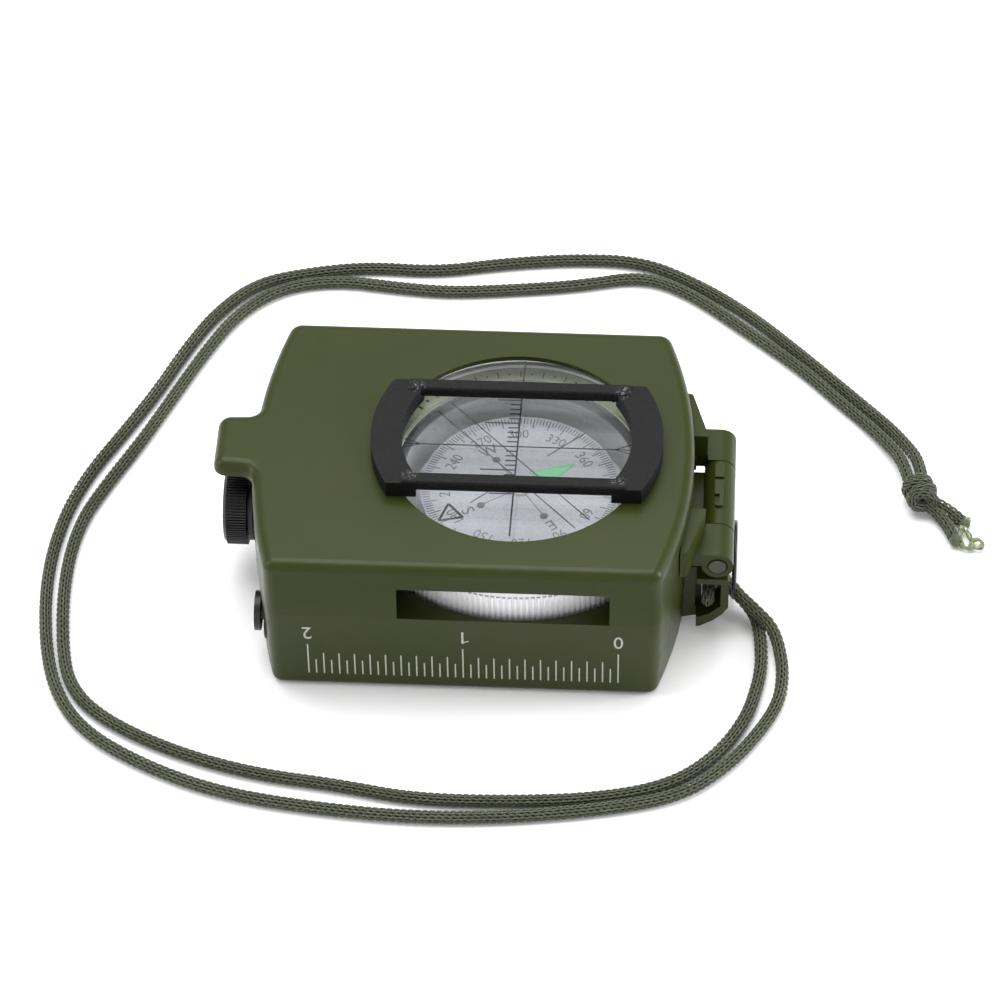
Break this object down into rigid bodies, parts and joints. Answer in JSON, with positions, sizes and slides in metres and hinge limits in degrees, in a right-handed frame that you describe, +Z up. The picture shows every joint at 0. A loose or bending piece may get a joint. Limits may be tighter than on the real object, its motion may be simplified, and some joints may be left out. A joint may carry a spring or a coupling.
{
  "type": "prismatic field compass",
  "caption": "Folding field compass: hinged lid with window and sight frame over a turning bezel, floating card, prism eyepiece, case with a ruled side, and a looped cord lanyard.",
  "frame": {"origin": "on the surface that the closed compass lies on, under the middle of its overall length and width, not counting the lanyard", "axes": "+X along the case towards the hinge, +Y across it away from the ruled side, +Z up through the lid window"},
  "size_m": [0.156, 0.1333, 0.0325],
  "materials": {
    "case_paint": "satin olive green enamel",
    "black_crinkle": "black wrinkle paint, worn at the edges",
    "bezel_metal": "bright turned and knurled",
    "luminous_ring": "pale green-cream, printed with black marks",
    "white_cup": "silvery white",
    "white_nylon": "plain",
    "card": "silver-white disc with a printed degree scale",
    "clear_glass": "clear polished acrylic",
    "black_plastic": "black moulded",
    "rubber": "pale grey silicone",
    "steel": "plain",
    "steel_olive": "steel painted over with the case",
    "brass": "turned",
    "black_wire": "black spring wire",
    "cord": "braided olive nylon"
  },
  "bodies": {
    "base": {"base_casing": "case_paint", "base_cover": "black_plastic", "tripod_bush": "brass", "cover_screws": "steel", "lanyard_lug": "case_paint", "bezel_washer": "white_nylon", "level_cup": "bezel_metal", "level_vial": "clear_glass", "eyepiece_tube": "black_plastic", "sighting_prism": "clear_glass", "prism_holder": "black_plastic", "prism_screws": "steel", "lock_spring": "steel", "lanyard_strand_a": "cord", "lanyard_strand_b": "cord", "lanyard_fold": "cord", "lanyard_knot": "cord", "lanyard_tails": "cord", "lanyard_ring": "black_wire"},
    "lid": {"lid": "case_paint", "lid_window": "clear_glass", "window_retainer": "black_plastic", "sight_frame": "black_crinkle", "frame_screws": "steel", "hinge_pin": "steel_olive", "hinge_washers": "white_nylon"},
    "bezel": {"bezel_ring": "bezel_metal", "scale_ring": "luminous_ring", "capsule_cup": "bezel_metal", "capsule_circlip": "steel", "capsule_bowl": "white_cup", "capsule_gasket": "rubber", "capsule_crystal": "clear_glass", "pivot_pin": "brass"},
    "card": {"compass_card": "card", "card_magnet": "steel", "card_jewel": "white_nylon"},
    "focus": {"focus_ring": "black_plastic"},
    "lens": {"lens_cell": "black_plastic", "eyepiece_lens": "clear_glass"},
    "lock": {"lock_button": "black_plastic", "lock_clip": "steel"}
  },
  "joints": [
    {"name": "lid_hinge", "type": "hinge", "parent": "base", "child": "lid", "pos_m": [0.0403, 0, 0.0174], "axis": [0, 1, 0], "range_deg": [0, 165]},
    {"name": "bezel_turn", "type": "hinge", "parent": "base", "child": "bezel", "pos_m": [0.00725, 0, 0.0165], "axis": [0, 0, 1], "continuous": true},
    {"name": "card_swing", "type": "hinge", "parent": "bezel", "child": "card", "pos_m": [0.00725, 0, 0.018], "axis": [0, 0, 1], "continuous": true},
    {"name": "focus_turn", "type": "hinge", "parent": "base", "child": "focus", "pos_m": [-0.0399, 0, 0.0135], "axis": [1, 0, 0], "range_deg": [-120, 120]},
    {"name": "lens_travel", "type": "slide", "parent": "base", "child": "lens", "axis": [1, 0, 0], "range_m": [-0.00059, 0.00059]},
    {"name": "lock_press", "type": "slide", "parent": "base", "child": "lock", "axis": [1, 0, 0], "range_m": [0, 0.0006], "stiffness_N_per_m": 400}
  ],
  "couplings": [
    {"joint": "focus_turn", "follows": "lens_travel", "rad_per_m": 3571.4}
  ]
}
